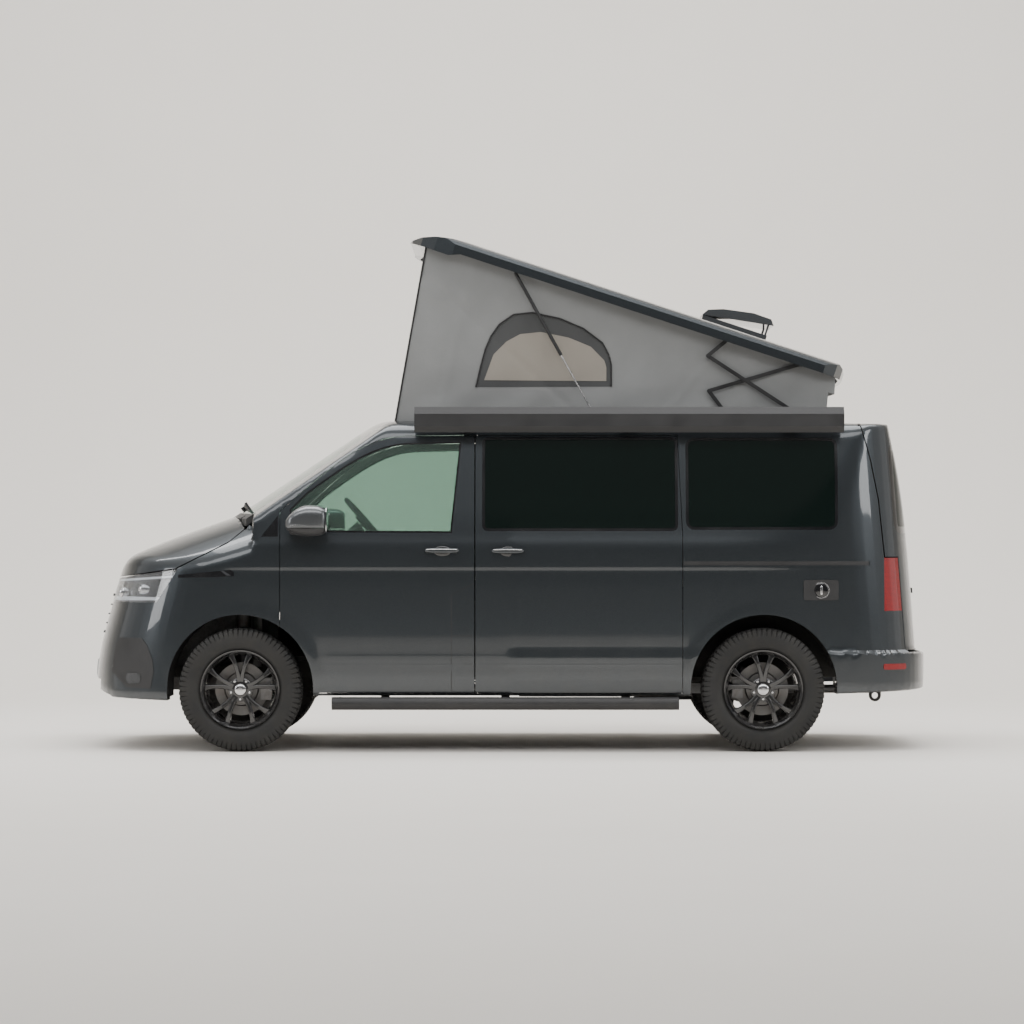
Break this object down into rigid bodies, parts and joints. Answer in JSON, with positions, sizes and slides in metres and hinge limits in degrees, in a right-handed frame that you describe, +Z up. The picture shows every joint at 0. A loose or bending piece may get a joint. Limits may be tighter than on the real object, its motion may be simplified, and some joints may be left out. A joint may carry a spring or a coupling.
{
  "type": "camper van",
  "caption": "Panel van camper with a raised tilting roof and canvas walls, opening doors, bonnet and tailgate, steered wheels, a roof awning and side steps.",
  "frame": {"origin": "on the ground under the middle of the van's length, on its centreline", "axes": "+X towards the nose, +Y to the van's left, +Z up"},
  "size_m": [4.904, 2.292, 2.9697],
  "materials": {
    "body_paint": "metallic grey paint under clear coat",
    "black_trim": "grained black plastic",
    "glass": "tinted glass",
    "lamp_lens": "clear lens",
    "red_lens": "red lens",
    "steel": "bare steel",
    "cast_metal": "cast metal",
    "tyre_rubber": "tread rubber",
    "wheel_paint": "gloss black paint",
    "seat_cloth": "woven seat cloth",
    "canvas_cloth": "woven tent canvas",
    "cabinet_board": "laminated light board",
    "arm_paint": "black coated steel"
  },
  "bodies": {
    "van": {"body_side_left": "body_paint", "body_side_right": "body_paint", "roof_panel": "body_paint", "underbody": "black_trim", "cross_panels": "black_trim", "front_wings": "body_paint", "scuttle": "black_trim", "windscreen": "glass", "side_windows": "glass", "sliding_door": "body_paint", "front_bumper": "body_paint", "grille": "black_trim", "headlamps": "lamp_lens", "rear_bumper": "body_paint", "tail_lamps": "red_lens", "powertrain": "cast_metal", "front_suspension": "steel", "rear_suspension": "steel", "wheel_liners": "black_trim", "exhaust": "steel", "fuel_tank": "black_trim", "dashboard": "black_trim", "front_seats": "seat_cloth", "rear_bench": "seat_cloth", "kitchen_unit": "cabinet_board", "side_steps": "black_trim", "awning": "black_trim", "wipers": "black_trim", "canvas": "canvas_cloth"},
    "door_left": {"front_door_left": "body_paint", "door_glass_left": "glass", "mirror_left": "body_paint"},
    "door_right": {"front_door_right": "body_paint", "door_glass_right": "glass", "mirror_right": "body_paint"},
    "bonnet": {"bonnet": "body_paint"},
    "tailgate": {"tailgate": "body_paint", "tailgate_glass": "glass"},
    "roof": {"pop_top": "body_paint", "roof_vent": "black_trim"},
    "arms_a": {"scissor_arms_a": "arm_paint"},
    "arms_b": {"scissor_arms_b": "arm_paint"},
    "top_links": {"top_links": "arm_paint"},
    "bottom_links": {"bottom_links": "arm_paint"},
    "strut_tubes": {"strut_tubes": "arm_paint"},
    "strut_rods": {"strut_rods": "steel"},
    "knuckle_left": {"knuckle_left": "steel"},
    "knuckle_right": {"knuckle_right": "steel"},
    "steering_wheel": {"steering_wheel": "black_trim"},
    "wheel_front_left": {"tyre_front_left": "tyre_rubber", "rim_front_left": "wheel_paint"},
    "wheel_front_right": {"tyre_front_right": "tyre_rubber", "rim_front_right": "wheel_paint"},
    "wheel_rear_left": {"tyre_rear_left": "tyre_rubber", "rim_rear_left": "wheel_paint"},
    "wheel_rear_right": {"tyre_rear_right": "tyre_rubber", "rim_rear_right": "wheel_paint"}
  },
  "joints": [
    {"name": "front_door_left", "type": "hinge", "parent": "van", "child": "door_left", "pos_m": [1.268, 0.938, 0.95], "axis": [0, 0, -1], "range_deg": [0, 70]},
    {"name": "front_door_right", "type": "hinge", "parent": "van", "child": "door_right", "pos_m": [1.268, -0.938, 0.95], "axis": [0, 0, 1], "range_deg": [0, 70]},
    {"name": "bonnet", "type": "hinge", "parent": "van", "child": "bonnet", "pos_m": [1.47, 0, 1.33], "axis": [0, -1, 0], "range_deg": [0, 45]},
    {"name": "tailgate", "type": "hinge", "parent": "van", "child": "tailgate", "pos_m": [-2.07, 0, 1.879], "axis": [0, 1, 0], "range_deg": [0, 80]},
    {"name": "roof_lift", "type": "hinge", "parent": "van", "child": "roof", "pos_m": [-2.568, 0, 1.946], "axis": [0, 1, 0], "range_deg": [0, 18.14], "deforming": ["canvas"]},
    {"name": "arms_a_turn", "type": "hinge", "parent": "van", "child": "arms_a", "pos_m": [-1.665, 0, 1.943], "axis": [0, 1, 0], "range_deg": [0, 33.12]},
    {"name": "arms_b_turn", "type": "hinge", "parent": "roof", "child": "arms_b", "pos_m": [-1.6819, 0, 2.23168], "axis": [0, 1, 0], "range_deg": [-34.71, 0]},
    {"name": "top_links_turn", "type": "hinge", "parent": "roof", "child": "top_links", "pos_m": [-1.25895, 0, 2.37172], "axis": [0, 1, 0], "range_deg": [-57.48, 0]},
    {"name": "bottom_links_turn", "type": "hinge", "parent": "van", "child": "bottom_links", "pos_m": [-1.25564, 0, 1.943], "axis": [0, 1, 0], "range_deg": [0, 52.65]},
    {"name": "struts_turn", "type": "hinge", "parent": "roof", "child": "strut_tubes", "pos_m": [-0.02408, 0, 2.77313], "axis": [0, 1, 0], "range_deg": [0, 43.11]},
    {"name": "struts_slide", "type": "slide", "parent": "strut_tubes", "child": "strut_rods", "axis": [-0.4862, 0, -0.8738], "range_m": [-0.3575, 0]},
    {"name": "steer_left", "type": "hinge", "parent": "van", "child": "knuckle_left", "pos_m": [1.547, 0.74, 0.25], "axis": [0, -0.226, 0.9741], "range_deg": [-35, 35]},
    {"name": "steer_right", "type": "hinge", "parent": "van", "child": "knuckle_right", "pos_m": [1.547, -0.74, 0.25], "axis": [0, 0.226, 0.9741], "range_deg": [-35, 35]},
    {"name": "wheel_front_left", "type": "hinge", "parent": "knuckle_left", "child": "wheel_front_left", "pos_m": [1.547, 0.814, 0.354], "axis": [0, 1, 0], "continuous": true},
    {"name": "wheel_front_right", "type": "hinge", "parent": "knuckle_right", "child": "wheel_front_right", "pos_m": [1.547, -0.814, 0.354], "axis": [0, 1, 0], "continuous": true},
    {"name": "wheel_rear_left", "type": "hinge", "parent": "van", "child": "wheel_rear_left", "pos_m": [-1.453, 0.814, 0.354], "axis": [0, 1, 0], "continuous": true},
    {"name": "wheel_rear_right", "type": "hinge", "parent": "van", "child": "wheel_rear_right", "pos_m": [-1.453, -0.814, 0.354], "axis": [0, 1, 0], "continuous": true},
    {"name": "steering_wheel_turn", "type": "hinge", "parent": "van", "child": "steering_wheel", "pos_m": [0.884, -0.41888, 1.325], "axis": [-0.7501, 0, 0.6613], "range_deg": [-490, 490]}
  ],
  "couplings": [
    {"joint": "arms_a_turn", "follows": "roof_lift", "ratio": 1.8232},
    {"joint": "arms_b_turn", "follows": "roof_lift", "ratio": -1.9106},
    {"joint": "top_links_turn", "follows": "roof_lift", "ratio": -3.1657},
    {"joint": "bottom_links_turn", "follows": "roof_lift", "ratio": 2.8994},
    {"joint": "struts_turn", "follows": "roof_lift", "ratio": 2.3736},
    {"joint": "struts_slide", "follows": "roof_lift", "m_per_rad": -1.1275},
    {"joint": "steer_right", "follows": "steer_left", "ratio": 1},
    {"joint": "steering_wheel_turn", "follows": "steer_left", "ratio": 14}
  ]
}
